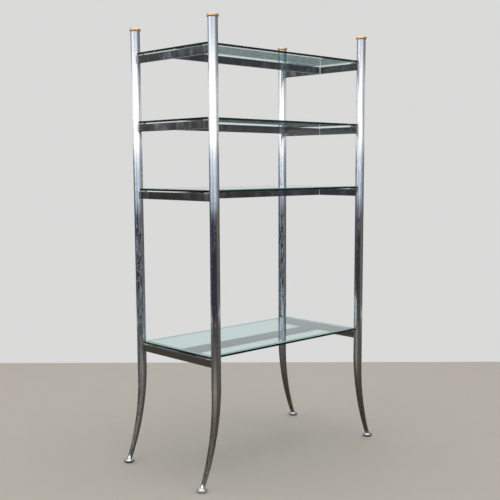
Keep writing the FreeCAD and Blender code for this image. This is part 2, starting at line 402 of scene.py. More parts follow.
class ShaderTree(Wiring):
    """The nodes of one material around a Principled shader."""

    def __init__(self, name: str) -> None:
        """Starts a material with its Principled shader.

        Args:
            name: The material's name.
        """
        self.material = bpy.data.materials.new(name)
        self.material.use_nodes = True
        super().__init__(self.material.node_tree)
        self.shader = next(node for node in self.tree.nodes if node.type == "BSDF_PRINCIPLED")
        self.output = next(node for node in self.tree.nodes if node.type == "OUTPUT_MATERIAL")

    def set(self, **inputs: Value) -> None:
        """Sets or joins inputs of the shader; a name's underscores stand for spaces."""
        for name, value in inputs.items():
            self.feed(self.shader.inputs[name.replace("_", " ")], value)

    def axes(self, space: str = "Object") -> tuple[Socket, ...]:
        """Returns the three parts of the Object, UV or Normal coordinates."""
        source = self.add("ShaderNodeTexCoord").outputs[space]
        return tuple(self.add("ShaderNodeSeparateXYZ", Vector=source).outputs)

    def noise(self, grain: Grain, space: str = "Object") -> Socket:
        """Adds a noise.

        Args:
            grain: What the noise is like.
            space: The coordinates that it lies in.

        Returns:
            The noise's socket, from 0 to 1.
        """
        source = self.add("ShaderNodeTexCoord").outputs[space]
        place = self.add("ShaderNodeMapping", Vector=source, Scale=grain.stretch).outputs[0]
        node = self.add(
            "ShaderNodeTexNoise", Vector=place, Scale=grain.scale, Detail=grain.detail, Roughness=grain.rough
        )
        return node.outputs[0]

    def pattern(self, grain: Grain, end: float = 1.0, start: float = 0.0) -> Socket:
        """Returns a noise that rises from start to end over its grain's span."""
        return self.spread(self.noise(grain), grain.span, start, end)

    def spread(self, value: Socket, span: Point, start: float = 0.0, end: float = 1.0) -> Socket:
        """Maps a value smoothly.

        Args:
            value: The socket to map.
            span: The values between which the result goes from start to end.
            start: The result at and below the span.
            end: The result at and above it.

        Returns:
            The result's socket.
        """
        node = self.add("ShaderNodeMapRange", {"interpolation_type": "SMOOTHSTEP"}, Value=value)
        for name, limit in zip(("From Min", "From Max", "To Min", "To Max"), (*span, start, end)):
            node.inputs[name].default_value = limit
        return node.outputs[0]

    def between(self, value: Socket, rise: Point, fall: Point) -> Socket:
        """Returns a mark that rises to 1 over one span and falls to 0 over another."""
        return self.math("MULTIPLY", self.spread(value, rise), self.spread(value, fall, 1, 0))

    def band(self, value: Socket, shape: Triple) -> Socket:
        """Marks the values near a centre.

        Args:
            value: The socket to look at.
            shape: The band's centre, how far from it the mark is still 1, and how far from it the mark is 0.

        Returns:
            The mark's socket.
        """
        away = self.math("ABSOLUTE", self.math("SUBTRACT", value, shape[0]))
        return self.spread(away, shape[1:], 1, 0)

    def bands(self, value: Socket, shapes: tuple[Triple, Triple]) -> Socket:
        """Returns a mark for the values in either of two bands."""
        return self.math("MAXIMUM", *(self.band(value, shape) for shape in shapes))

    def blend(self, share: Socket, first: Socket | Colour, second: Socket | Colour) -> Socket:
        """Mixes two colours.

        Args:
            share: The socket that says how much of the second there is.
            first: A colour or a socket.
            second: A colour or a socket.

        Returns:
            The mixed colour's socket.
        """
        node = self.add("ShaderNodeMix", {"data_type": "RGBA"})
        self.feed(node.inputs[0], share)
        for socket, value in zip([item for item in node.inputs if item.type == "RGBA"], (first, second)):
            self.feed(socket, value)
        return next(item for item in node.outputs if item.type == "RGBA")

    def bump(self, height: Socket, strength: float, distance: float) -> Socket:
        """Returns a normal raised by a height, in metres at the full strength."""
        return self.add("ShaderNodeBump", Height=height, Strength=strength, Distance=distance).outputs[0]


# Finishes


@dataclass(frozen=True)
class ChromeFinish:
    """Plating with years of wear: wiped smudges, pits, drawn streaks and a rougher skin near the floor, where
    its colour is a painted reflection of the brown floor.
    """

    name: str
    colour: Colour = (0.7, 0.71, 0.725)
    worn_colour: Colour = (0.47, 0.53, 0.61)
    # The colour low on the legs and the lowest rails is a painted reflection of the brown floor
    leg_reflection_colour: Colour = (0.38, 0.35, 0.315)
    braze_colour: Colour = (0.85, 0.76, 0.6)
    dust_colour: Colour = (0.3, 0.29, 0.275)
    edge_tint: Colour = (0.55, 0.56, 0.58)
    # How strongly each kind of wear shows
    polish: float = 0.05
    smudge: float = 0.4
    wiped: float = 0.2
    pits: float = 0.8
    streak: float = 0.3
    haze: float = 0.0
    bloom: float = 0.0
    braze: float = 0.0
    dust: float = 0.0
    leg_rough: float = 0.18
    cover_rough: float = 0.35
    pit_depth: float = 0.3
    relief: float = 0.2 * MM
    # The patterns of the wear
    wipe_grain: Grain = Grain((1, 1, 0.35), 26, 6, 0.62, (0.45, 0.68))
    patch_grain: Grain = Grain((1, 1, 0.35), 11, 3, 0.5, (0.45, 0.65))
    pit_grain: Grain = Grain((1, 1, 1), 420, 2, 0.5, (0.6, 0.7))
    haze_grain: Grain = Grain((1, 1, 0.15), 190, 4, 0.65, (0.37, 0.62))
    drawn_grain: Grain = Grain((1, 1, 0.05), 150, 2, 0.45)
    # The heights over which wear and the painted floor reflection low down set in or fade, and a hazy band
    # about the middle shelf
    leg_span: Point = (0.1, 0.5)
    ankle_span: Point = (0.016, 0.03)
    foot_span: Point = (0.03, 0.06)
    haze_span: Point = (0.5, 1.1)
    bloom_span: Point = (1.02, 1.24)
    middle_band: Triple = (1.01, 0.06, 0.13)
    middle_haze: float = 0.55
    # The depths over which the front posts' thinner haze passes into the back posts'
    depth_span: Point = (-0.1, 0.1)
    front_haze: float = 0.25
    # The brazed joints, across the width and the depth, and the upward turn at which dust lies
    joint_width: Triple = (0.3505, 0.0008, 0.002)
    joint_depth: Triple = (0.0, 0.009, 0.011)
    dust_turn: Point = (0.6, 0.9)

    def build(self) -> Material:
        """Makes the material.

        Returns:
            The material, patterned in Object coordinates.
        """
        nodes = ShaderTree(self.name)
        width, depth, height = nodes.axes()
        pitted = nodes.pattern(self.pit_grain, self.pits)
        pitted = nodes.math("MULTIPLY", pitted, nodes.pattern(self.patch_grain))
        mottle = nodes.noise(self.haze_grain)
        clouded = self._clouded(nodes, depth, height)
        hazy = nodes.math("MULTIPLY", nodes.spread(mottle, self.haze_grain.span), clouded)
        worn = nodes.math("ADD", nodes.pattern(self.wipe_grain, self.wiped), nodes.math("ADD", pitted, hazy))
        leg = nodes.between(height, self.ankle_span, self.leg_span)
        joint = nodes.band(nodes.math("ABSOLUTE", width), self.joint_width)
        joint = nodes.math("MULTIPLY", joint, nodes.band(depth, self.joint_depth))
        joint = nodes.math("MULTIPLY", joint, self.braze)
        dusty = nodes.spread(nodes.axes("Normal")[2], self.dust_turn, 0, self.dust)

        plated = nodes.blend(worn, self.colour, self.worn_colour)
        # Low down the plating takes a painted reflection of the brown floor
        plated = nodes.blend(leg, plated, self.leg_reflection_colour)
        plated = nodes.blend(dusty, plated, self.dust_colour)
        rough = nodes.math("MULTIPLY_ADD", worn, self.smudge, self.polish)
        rough = nodes.math("MULTIPLY_ADD", leg, self.leg_rough, rough)
        rough = nodes.math("ADD", rough, nodes.spread(height, self.bloom_span, 0, self.bloom))
        rough = nodes.math("MULTIPLY_ADD", nodes.math("MAXIMUM", joint, dusty), self.cover_rough, rough)
        relief = nodes.math("ADD", nodes.noise(self.drawn_grain), nodes.math("MULTIPLY", mottle, clouded))
        relief = nodes.math("SUBTRACT", relief, nodes.math("MULTIPLY", pitted, self.pit_depth))
        nodes.set(
            Base_Color=nodes.blend(joint, plated, self.braze_colour),
            Metallic=1.0,
            Roughness=rough,
            Specular_Tint=self.edge_tint,
            Normal=nodes.bump(relief, self.streak, self.relief),
        )
        return nodes.material

    def _clouded(self, nodes: ShaderTree, depth: Socket, height: Socket) -> Socket:
        """Marks where the plating is hazy.

        Args:
            nodes: The material's nodes.
            depth: The place's Y.
            height: The place's Z.

        Returns:
            The mark's socket: low down, most of all at the back, and about the middle shelf, not on the feet.
        """
        rearward = nodes.spread(depth, self.depth_span, self.front_haze, 1)
        low = nodes.math("MULTIPLY", nodes.spread(height, self.haze_span, 1, 0), rearward)
        middle = nodes.math("MULTIPLY", nodes.band(height, self.middle_band), self.middle_haze)
        clouded = nodes.math("MAXIMUM", low, middle)
        clouded = nodes.math("MULTIPLY", clouded, nodes.spread(height, self.foot_span))
        return nodes.math("MULTIPLY", clouded, self.haze)


@dataclass(frozen=True)
class BrassFinish:
    """Turned brass, dulled by age: fine rings from the lathe and warm mottling."""

    name: str = "cap_brass"
    colour: Colour = (0.87, 0.6, 0.35)
    tarnish: Colour = (0.55, 0.33, 0.15)
    polish: float = 0.44
    least_stain: float = 0.05
    most_stain: float = 0.35
    ring_rough: float = 0.16
    ring_bump: float = 0.25
    ring_depth: float = 0.1 * MM
    ring_grain: Grain = Grain((0.04, 1, 1), 2600, 2, 0.6)
    stain_grain: Grain = Grain((1, 1, 1), 170, 5, 0.6, (0.45, 0.72))

    def build(self) -> Material:
        """Makes the material.

        Returns:
            The material, with its rings along the UV map that the turning leaves.
        """
        nodes = ShaderTree(self.name)
        rings = nodes.noise(self.ring_grain, "UV")
        stained = nodes.pattern(self.stain_grain, self.most_stain, self.least_stain)
        nodes.set(
            Base_Color=nodes.blend(stained, self.colour, self.tarnish),
            Metallic=1.0,
            Roughness=nodes.math("MULTIPLY_ADD", rings, self.ring_rough, self.polish),
            Normal=nodes.bump(rings, self.ring_bump, self.ring_depth),
        )
        return nodes.material


@dataclass(frozen=True)
class RubberFinish:
    """Cream rubber with a dusty skin."""

    name: str = "pad_rubber"
    colour: Colour = (0.78, 0.74, 0.62)
    dust: Colour = (0.6, 0.56, 0.46)
    most_dust: float = 0.7
    least_rough: float = 0.55
    most_rough: float = 0.8
    skin_bump: float = 0.3
    skin_depth: float = 0.2 * MM
    dust_grain: Grain = Grain((1, 1, 1), 240, 5, 0.6, (0.4, 0.7))
    skin_grain: Grain = Grain((1, 1, 1), 1900, 2, 0.5, (0.3, 0.7))

    def build(self) -> Material:
        """Makes the material.

        Returns:
            The material, patterned in Object coordinates.
        """
        nodes = ShaderTree(self.name)
        skin = nodes.noise(self.skin_grain)
        nodes.set(
            Base_Color=nodes.blend(nodes.pattern(self.dust_grain, self.most_dust), self.colour, self.dust),
            Roughness=nodes.spread(skin, self.skin_grain.span, self.least_rough, self.most_rough),
            Normal=nodes.bump(skin, self.skin_bump, self.skin_depth),
        )
        return nodes.material


@dataclass(frozen=True)
class GlassFinish:
    """Green float glass: clear through its faces, ground on its bevels and deep green along its edges."""

    name: str = "shelf_glass"
    clear_colour: Colour = (1.0, 1.0, 1.0)
    bloom_colour: Colour = (0.97, 0.985, 0.98)
    body_colour: Colour = (0.06, 0.7, 0.64)
    ground_colour: Colour = (0.27, 0.53, 0.49)
    density: float = 28.0
    ior: float = 1.52
    bloom_grain: Grain = Grain((1, 1, 1), 9, 5, 0.6, (0.4, 0.8))
    bloom_span: Point = (0.5, 0.8)
    bloom_rough: float = 0.012
    ground_rough: float = 0.4
    ground_cover: float = 0.8
    # How upright the ground bevel's normal is: past the edges' own, and short of the flat face's
    ground_rise: Point = (0.97, 0.99)
    ground_fall: Point = (0.997, 0.9992)

    def build(self) -> Material:
        """Makes the material.

        Returns:
            The material, with the green in the body of the glass and a faint bloom on its faces.
        """
        nodes = ShaderTree(self.name)
        bloom = nodes.noise(self.bloom_grain)
        upright = nodes.math("ABSOLUTE", nodes.axes("Normal")[2])
        ground = nodes.between(upright, self.ground_rise, self.ground_fall)
        clear = nodes.blend(nodes.spread(bloom, self.bloom_grain.span), self.clear_colour, self.bloom_colour)
        smooth = nodes.spread(bloom, self.bloom_span, 0, self.bloom_rough)
        nodes.set(
            Base_Color=nodes.blend(ground, clear, self.ground_colour),
            Roughness=nodes.math("MULTIPLY_ADD", ground, self.ground_rough, smooth),
            Transmission_Weight=nodes.math("MULTIPLY_ADD", ground, -self.ground_cover, 1.0),
            IOR=self.ior,
        )
        depth = nodes.add("ShaderNodeVolumeAbsorption", Color=self.body_colour, Density=self.density)
        nodes.feed(nodes.output.inputs["Volume"], depth.outputs[0])
        return nodes.material


# Pieces


@dataclass
class Posts:
    """Four tubes whose lower ends taper, sweep outward and stand on flattened ball feet."""

    span_x: float = 714 * MM
    span_y: float = 405 * MM
    top: float = 1506.5 * MM
    tube_radius: float = 16 * MM
    bend_height: float = 330 * MM
    bend_radius: float = 826 * MM
    leg_end_height: float = 24 * MM
    leg_end_radius: float = 7.75 * MM
    neck_radius: float = 9 * MM
    neck_root: float = 6 * MM
    foot_radius: float = 17.25 * MM
    foot_rim: float = 7 * MM
    foot_crown: float = 60 * MM
    foot_flat: float = 11 * MM
    # Where a ring keeps the flat under a foot true, as a share of the flat's radius
    flat_share: float = 0.6
    # Steps round a post and along its parts
    sides: int = 64
    straight_steps: int = 6
    bend_steps: int = 56
    flare_steps: int = 3
    neck_steps: int = 12
    under_steps: int = 6
    rim_steps: int = 20
    crown_steps: int = 14

    @property
    def lean(self) -> float:
        """The angle that a leg has turned through at its end."""
        return math.asin((self.bend_height - self.leg_end_height) / self.bend_radius)

    @property
    def crown_rise(self) -> float:
        """How far the centre of a foot's crown lies from the middle of the foot."""
        return math.sqrt((self.foot_crown - self.foot_rim) ** 2 - (self.foot_radius - self.foot_rim) ** 2)

    @property
    def foot_height(self) -> float:
        """The height of the middle of a foot."""
        return math.sqrt(self.foot_crown**2 - self.foot_flat**2) - self.crown_rise

    @property
    def foot_reach(self) -> float:
        """How far a foot stands out from its post's axis."""
        fall = self.leg_end_height - self.foot_height
        return self.bend_radius * (1 - math.cos(self.lean)) + fall * math.tan(self.lean)

    @property
    def neck_length(self) -> float:
        """How far a neck runs on from the leg's end, down to its root in the foot."""
        return (self.leg_end_height - self.foot_height) / math.cos(self.lean) - self.neck_root

    def foot_mesh(self) -> bpy.types.Mesh:
        """Turns one foot, at its place beside a post that stands at the origin.

        Returns:
            The foot's mesh.
        """
        rim = (self.foot_radius - self.foot_rim, self.foot_height)
        meet = math.degrees(math.atan2(self.crown_rise, rim[0]))
        under = (0.0, self.foot_height + self.crown_rise)
        over = (0.0, self.foot_height - self.crown_rise)
        flat = math.degrees(math.asin(self.foot_flat / self.foot_crown))
        profile = [(0.0, 0.0), (self.foot_flat * self.flat_share, 0.0)]
        profile += arc(under, self.foot_crown, flat - 90, -meet, self.under_steps)
        profile += arc(rim, self.foot_rim, -meet, meet, self.rim_steps)[1:]
        profile += arc(over, self.foot_crown, meet, 90, self.crown_steps)[1:]
        return turned_mesh("ball_foot", profile, self.sides, Vector((self.foot_reach, 0, 0)))

    def build(self, material: Material) -> None:
        """Sweeps a post down its line, adds its foot and sets one at each corner.

        Args:
            material: The posts' finish.
        """
        item = new_object("stand_posts", self.foot_mesh())
        tree = GeometryTree("swept_posts")
        swept = self._swept(tree)
        post = tree.add("GeometryNodeJoinGeometry")
        for part in (tree.entry.outputs[0], swept):
            tree.feed(post.inputs[0], part)
        corners = tree.add(
            "GeometryNodeMeshGrid",
            Size_X=tree.size("Post Span X", self.span_x),
            Size_Y=tree.size("Post Span Y", self.span_y),
            Vertices_X=2,
            Vertices_Y=2,
        )
        across = tree.add("ShaderNodeSeparateXYZ", Vector=tree.add("GeometryNodeInputPosition").outputs[0])
        turn = tree.math("MULTIPLY", tree.math("LESS_THAN", across.outputs[0], 0.0), math.pi)
        stand = tree.add(
            "GeometryNodeInstanceOnPoints",
            Points=corners.outputs[0],
            Instance=post.outputs[0],
            Rotation=tree.add("ShaderNodeCombineXYZ", Z=turn).outputs[0],
        )
        tree.realise(stand.outputs[0], material, item)
        for face in item.data.polygons:
            face.use_smooth = True
        settle(item, material, "frame", [f"post_{corner}" for corner in CORNERS])

    def _swept(self, tree: GeometryTree) -> Socket:
        """Sweeps a circle down a post's line, from the tube's top to the neck's root.

        Args:
            tree: The posts' tree.

        Returns:
            The socket with one post at the origin, its leg towards +X.
        """
        straight = tree.count("Straight Steps", self.straight_steps)
        bend = tree.count("Bend Steps", self.bend_steps)
        neck = tree.count("Neck Steps", self.neck_steps)
        leg_end = tree.math("ADD", straight, bend)
        steps = tree.math("ADD", leg_end, neck)
        index = tree.add("GeometryNodeInputIndex").outputs[0]
        round_bend = tree.share(index, straight, bend)

        lean = tree.size("Leg Lean", self.lean)
        radius = tree.size("Bend Radius", self.bend_radius)
        top = tree.size("Post Top", self.top)
        fall = tree.math("SUBTRACT", top, tree.size("Bend Height", self.bend_height))
        neck_length = tree.size("Neck Length", self.neck_length)
        reach = tree.math("MULTIPLY", tree.share(index, leg_end, neck), neck_length)
        angle = tree.math("MULTIPLY", round_bend, lean)
        out = tree.math("MULTIPLY", radius, tree.math("SUBTRACT", 1.0, tree.math("COSINE", angle)))
        out = tree.math("MULTIPLY_ADD", reach, tree.math("SINE", lean), out)
        height = tree.math("SUBTRACT", top, tree.math("MULTIPLY", tree.share(index, 0, straight), fall))
        height = tree.math("SUBTRACT", height, tree.math("MULTIPLY", radius, tree.math("SINE", angle)))
        height = tree.math("SUBTRACT", height, tree.math("MULTIPLY", reach, tree.math("COSINE", lean)))
        spot = tree.add("ShaderNodeCombineXYZ", X=out, Z=height).outputs[0]
        line = tree.add("GeometryNodeMeshLine", Count=tree.math("ADD", steps, 1))
        curve = tree.add("GeometryNodeMeshToCurve", Mesh=line.outputs[0]).outputs[0]
        curve = tree.add("GeometryNodeSetPosition", Geometry=curve, Position=spot).outputs[0]

        tube = tree.size("Tube Radius", self.tube_radius)
        end = tree.size("Leg End Radius", self.leg_end_radius)
        flare = tree.math("SUBTRACT", tree.size("Neck Radius", self.neck_radius), end)
        girth = tree.math("MULTIPLY_ADD", round_bend, tree.math("SUBTRACT", end, tube), tube)
        flare_start = tree.math("SUBTRACT", leg_end, tree.count("Flare Steps", self.flare_steps))
        swell = tree.share(index, flare_start, tree.math("SUBTRACT", steps, flare_start))
        girth = tree.math("MULTIPLY_ADD", tree.math("POWER", swell, 2.0), flare, girth)
        sides = tree.count("Sides", self.sides)
        circle = tree.add("GeometryNodeCurvePrimitiveCircle", Resolution=sides, Radius=1.0).outputs[0]
        sweep = tree.add(
            "GeometryNodeCurveToMesh", Curve=curve, Profile_Curve=circle, Scale=girth, Fill_Caps=True
        )
        return sweep.outputs[0]


@dataclass
class Caps:
    """Turned caps with round rims, each with a spigot down its tube."""

    radius: float = 19.5 * MM
    height: float = 11.5 * MM
    rim: float = 4.6 * MM
    rim_turn: float = 86.0
    dome: float = 0.6 * MM
    spigot_radius: float = 14.2 * MM
    spigot_length: float = 20 * MM
    spigot_chamfer: float = 1 * MM
    sides: int = 72
    rim_steps: int = 9
    dome_rings: tuple[float, ...] = (0.8, 0.55, 0.3, 0.1)

    def profile(self) -> list[Point]:
        """Draws half of a cap's section.

        Returns:
            Points of radius and height above the tube's end.
        """
        inner = self.radius - self.rim
        shoulder = self.height - self.dome
        points = [(0.0, -self.spigot_length), (self.spigot_radius - self.spigot_chamfer, -self.spigot_length)]
        points += [(self.spigot_radius, self.spigot_chamfer - self.spigot_length), (self.spigot_radius, 0.0)]
        points += arc((inner, self.rim), self.rim, -90, 0, self.rim_steps)
        points += arc((inner, shoulder - self.rim), self.rim, 0, self.rim_turn, self.rim_steps)
        points += [(inner * share, self.height - self.dome * share**2) for share in self.dome_rings]
        return points + [(0.0, self.height)]

    def build(self, material: Material) -> None:
        """Sets a cap on each post.

        Args:
            material: The caps' finish.
        """
        for where in CORNERS:
            low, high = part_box(f"cap_{where}")
            middle = (low + high) / 2
            place = Vector((middle.x, middle.y, high.z - self.height))
            mesh = turned_mesh(f"turned_cap_{where}", self.profile(), self.sides, place)
            settle(new_object(mesh.name, mesh), material, "frame", [f"cap_{where}"])


@dataclass
class Rails:
    """Flat bars with eased edges: one at each end of a shelf, coped to the posts, and one down its middle."""

    thickness: float = 10 * MM
    height: float = 25 * MM
    edge: float = 1.3 * MM
    weld: float = 4 * MM
    post_y: float = 202.5 * MM
    cope: float = 16.05 * MM
    edge_steps: int = 4
    weld_steps: int = 7
    # Distances from the joint, as multiples of the weld, of the rings that keep the bar's sides flat
    flat_rings: Point = (1.6, 5.0)

    def weld_width(self, gap: float) -> float:
        """Gives how far the hollow weld stands out from a bar's side.

        Args:
            gap: The distance from what the bar joins.

        Returns:
            The weld's width there.
        """
        if gap >= self.weld:
            return 0.0
        return self.weld - math.sqrt(self.weld**2 - (self.weld - gap) ** 2)

    def gaps(self) -> list[float]:
        """Lists the distances from the joint at which a bar has a ring.

        Returns:
            The distances, from the joint inward.
        """
        turns = [math.pi / 2 * step / self.weld_steps for step in range(self.weld_steps + 1)]
        near = [self.weld * (1 - math.cos(turn)) for turn in turns]
        return near + [self.weld * share for share in self.flat_rings]

    def rings(self, reach: Callable[[float], float]) -> list[list[Vector]]:
        """Draws the rings of a bar that lies along X, from its left end to its right end.

        Args:
            reach: A function that gives the end's X for a distance from the bar's middle plane.

        Returns:
            The rings, in the bar's own frame with its underside at zero.
        """
        half = []
        for gap in self.gaps():
            width = self.thickness / 2 + self.weld_width(gap)
            section = rounded_section(width, 0.0, self.height, self.edge, self.edge_steps)
            half.append([Vector((reach(across) - gap, across, height)) for across, height in section])
        mirrored = [[Vector((-spot.x, spot.y, spot.z)) for spot in ring] for ring in half]
        return mirrored + list(reversed(half))

    def build(self, material: Material) -> None:
        """Builds the three bars of every level.

        Args:
            material: The rails' finish.
        """
        for level in Level:
            for side in Side:
                self._end_bar(level, side, material)
            self._long_bar(level, material)

    def _end_bar(self, level: Level, side: Side, material: Material) -> None:
        """Builds the bar between the two posts of one end.

        Args:
            level: The shelf it carries.
            side: The end it is at.
            material: Its finish.
        """
        node = f"end_rail_{side.value}_{level.value}"
        low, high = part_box(node)
        turn = Matrix.Translation(((low.x + high.x) / 2, 0, low.z)) @ Matrix.Rotation(math.pi / 2, 4, "Z")
        rings = self.rings(lambda across: self.post_y - math.sqrt(self.cope**2 - across**2))
        self._bar(node, turn, rings, material)

    def _long_bar(self, level: Level, material: Material) -> None:
        """Builds the bar along the middle of a shelf.

        Args:
            level: The shelf it carries.
            material: Its finish.
        """
        node = f"long_rail_{level.value}"
        low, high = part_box(node)
        self._bar(node, Matrix.Translation((0, 0, low.z)), self.rings(lambda across: high.x), material)

    def _bar(self, node: str, place: Matrix, rings: list[list[Vector]], material: Material) -> None:
        """Skins a bar's rings at its place and hands it over.

        Args:
            node: The CAD node that it stands for.
            place: Where its own frame lies.
            rings: Its rings, in its own frame.
            material: Its finish.
        """
        mesh = lofted_mesh(f"bar_{node}", [[place @ spot for spot in ring] for ring in rings])
        settle(new_object(mesh.name, mesh), material, "frame", [node])


@dataclass
class Pads:
    """Soft strips on the end rails, one beside each post, that the glass lies on."""

    length: float = 25 * MM
    width: float = 8 * MM
    thickness: float = 3.5 * MM
    corner: float = 0.9 * MM
    corner_steps: int = 4

    def build(self, material: Material) -> None:
        """Cuts one strip and lays it at the middle of every pad's place.

        Args:
            material: The pads' finish.
        """
        nodes = [f"pad_{level.value}_{corner}" for level in Level for corner in CORNERS]
        places = bpy.data.meshes.new("pad_places")
        places.from_pydata([(sum(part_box(node), Vector()) / 2) for node in nodes], [], [])
        item = new_object("shelf_pads", places)
        tree = GeometryTree("laid_pads")
        outline = tree.add(
            "GeometryNodeCurvePrimitiveQuadrilateral",
            Width=tree.size("Pad Width", self.width),
            Height=tree.size("Pad Thickness", self.thickness),
        )
        eased = tree.add(
            "GeometryNodeFilletCurve",
            {"mode": "POLY"},
            Curve=outline.outputs[0],
            Count=tree.count("Corner Steps", self.corner_steps),
            Radius=tree.size("Pad Corner", self.corner),
        )
        half = tree.math("MULTIPLY", tree.size("Pad Length", self.length), 0.5)
        start = tree.add("ShaderNodeCombineXYZ", Y=tree.math("MULTIPLY", half, -1.0)).outputs[0]
        end = tree.add("ShaderNodeCombineXYZ", Y=half).outputs[0]
        line = tree.add("GeometryNodeCurvePrimitiveLine", Start=start, End=end).outputs[0]
        strip = tree.add(
            "GeometryNodeCurveToMesh", Curve=line, Profile_Curve=eased.outputs[0], Fill_Caps=True
        )
        laid = tree.add(
            "GeometryNodeInstanceOnPoints", Points=tree.entry.outputs[0], Instance=strip.outputs[0]
        )
        tree.realise(laid.outputs[0], material, item)
        settle(item, material, "frame", nodes)


@dataclass
class Shelves:
    """Loose plates of glass with rounded corners, polished edges and a shallow bevel round the top."""

    corner: float = 4 * MM
    least_corner: float = 0.5 * MM
    arris: float = 0.8 * MM
    bevel_width: float = 14 * MM
    bevel_drop: float = 1.2 * MM
    corner_steps: int = 8
    arris_steps: int = 4

    def outline(self, half_x: float, half_y: float, inset: float, height: float) -> list[Vector]:
        """Draws a plate's outline at one height.

        Args:
            half_x: Half of the plate's width.
            half_y: Half of its depth.
            inset: How far the outline lies inside the plate's edge.
            height: Where it lies.

        Returns:
            The outline's points.
        """
        radius = max(self.corner - inset, self.least_corner)
        points = rounded_section(half_x - inset, inset - half_y, half_y - inset, radius, self.corner_steps)
        return [Vector((across, along, height)) for across, along in points]

    def easing(self, slope: float) -> list[Point]:
        """Draws the rounding from a plate's upright edge onto a face that leans back from it.

        Args:
            slope: How far the face leans from level, in radians.

        Returns:
            Insets and distances past the corner where edge and face would meet, from the edge inward.
        """
        turn = math.pi / 2 - slope
        reach = self.arris * math.tan(turn / 2)
        turns = [turn * step / self.arris_steps for step in range(self.arris_steps + 1)]
        spots = [(self.arris * (1 - math.cos(part)), reach - self.arris * math.sin(part)) for part in turns]
        leave = (spots[-1][0] + HOLD * math.cos(slope), spots[-1][1] - HOLD * math.sin(slope))
        return [(0.0, reach + HOLD), *spots, leave]

    def build(self, material: Material) -> None:
        """Lays a plate at every level.

        Args:
            material: The plates' finish.
        """
        slope = math.atan2(self.bevel_drop, self.bevel_width)
        rim = (self.bevel_width - HOLD, HOLD * math.tan(slope) - self.bevel_drop)
        flat = [(self.bevel_width + part, -self.bevel_drop) for part in (0.0, HOLD)]
        over = [*self.easing(slope), rim, *flat]
        under = list(reversed(self.easing(0.0)))
        for level in Level:
            node = f"glass_{level.value}"
            low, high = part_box(node)
            rings = [self.outline(high.x, high.y, inset, low.z + rise) for inset, rise in under]
            top = high.z - self.bevel_drop
            rings += [self.outline(high.x, high.y, inset, top - fall) for inset, fall in over]
            mesh = lofted_mesh(f"plate_{level.value}", rings)
            settle(new_object(mesh.name, mesh), material, f"shelf_{level.value}", [node])


# Studio


@dataclass
class Camera:
    """The camera at the photograph's place, taken from the posts' and shelves' lines in it."""

    place: Triple = (-2.15042, -2.27972, 1.05141)
    yaw: float = VIEW_YAW
    pitch: float = 0.130872
    roll: float = -0.00264
    focal_pixels: float = 863.35
    centre_pixels: Point = (262.89, 279.61)
    image_pixels: float = 500.0
    sensor_width: float = 36.0
    clip_start: float = 0.05

    def build(self) -> None:
        """Places the camera and makes it the scene's own."""
        level = math.cos(self.pitch)
        ahead = Vector((math.sin(self.yaw) * level, math.cos(self.yaw) * level, -math.sin(self.pitch)))
        right = Vector((math.cos(self.yaw), -math.sin(self.yaw), 0))
        up = right.cross(ahead)
        tilted_right = right * math.cos(self.roll) + up * math.sin(self.roll)
        tilted_up = up * math.cos(self.roll) - right * math.sin(self.roll)
        lens = bpy.data.cameras.new("photo_camera")
        lens.sensor_width = self.sensor_width
        lens.lens = lens.sensor_width * self.focal_pixels / self.image_pixels
        lens.shift_x = 0.5 - self.centre_pixels[0] / self.image_pixels
        lens.shift_y = self.centre_pixels[1] / self.image_pixels - 0.5
        lens.clip_start = self.clip_start
        item = bpy.data.objects.new("photo_camera", lens)
        turn = Matrix((tilted_right, tilted_up, -ahead)).transposed().to_4x4()
        item.matrix_world = Matrix.Translation(self.place) @ turn
        bpy.context.scene.collection.objects.link(item)
        bpy.context.scene.camera = item


def beside(left: float, distance: float, height: float) -> Vector:
    """Gives a place round the stand.

    Args:
        left: Its angle to the left of the camera's own direction, in degrees.
        distance: How far it is from the stand's middle.
        height: Its height.

    Returns:
        The place.
    """
    angle = VIEW_YAW + math.pi + math.radians(left)
    return Vector((math.sin(angle) * distance, math.cos(angle) * distance, height))


@dataclass(frozen=True)
class Sheet:
    """A flat sheet under the stand, square to the camera."""

    side: float
    front: float
    back: float
    height: float = 0.0

    def lay(self, name: str) -> bpy.types.Object:
        """Lays the sheet.

        Args:
            name: The sheet's name.

        Returns:
            The sheet, with the distances to the right of the stand and behind it in its UV map.
        """
        ahead = Vector((math.sin(VIEW_YAW), math.cos(VIEW_YAW), 0))
        right = Vector((ahead.y, -ahead.x, 0))
        marks = [
            (-self.side, -self.front),
            (self.side, -self.front),
            (self.side, self.back),
            (-self.side, self.back),
        ]
        shape = bmesh.new()
        layer = shape.loops.layers.uv.new("floor")
        corners = [right * width + ahead * depth + Vector((0, 0, self.height)) for width, depth in marks]
        face = shape.faces.new([shape.verts.new(corner) for corner in corners])
        for loop, mark in zip(face.loops, marks):
            loop[layer].uv = mark
        mesh = bpy.data.meshes.new(name)
        shape.to_mesh(mesh)
        shape.free()
        item = new_object(name, mesh)
        return item


@dataclass
class Floor:
    """A plain pale floor."""

    sheet: Sheet
    colour: Colour = (0.62, 0.575, 0.515)
    shade: float = 0.94
    rough: float = 0.7
    grain: Grain = Grain((1, 1, 1), 7, 6, 0.6)

    def build(self) -> None:
        """Lays the floor and dresses it."""
        item = self.sheet.lay("floor")
        nodes = ShaderTree("pale_floor")
        darker = tuple(part * self.shade for part in self.colour)
        nodes.set(Base_Color=nodes.blend(nodes.noise(self.grain), self.colour, darker), Roughness=self.rough)
        item.data.materials.append(nodes.material)


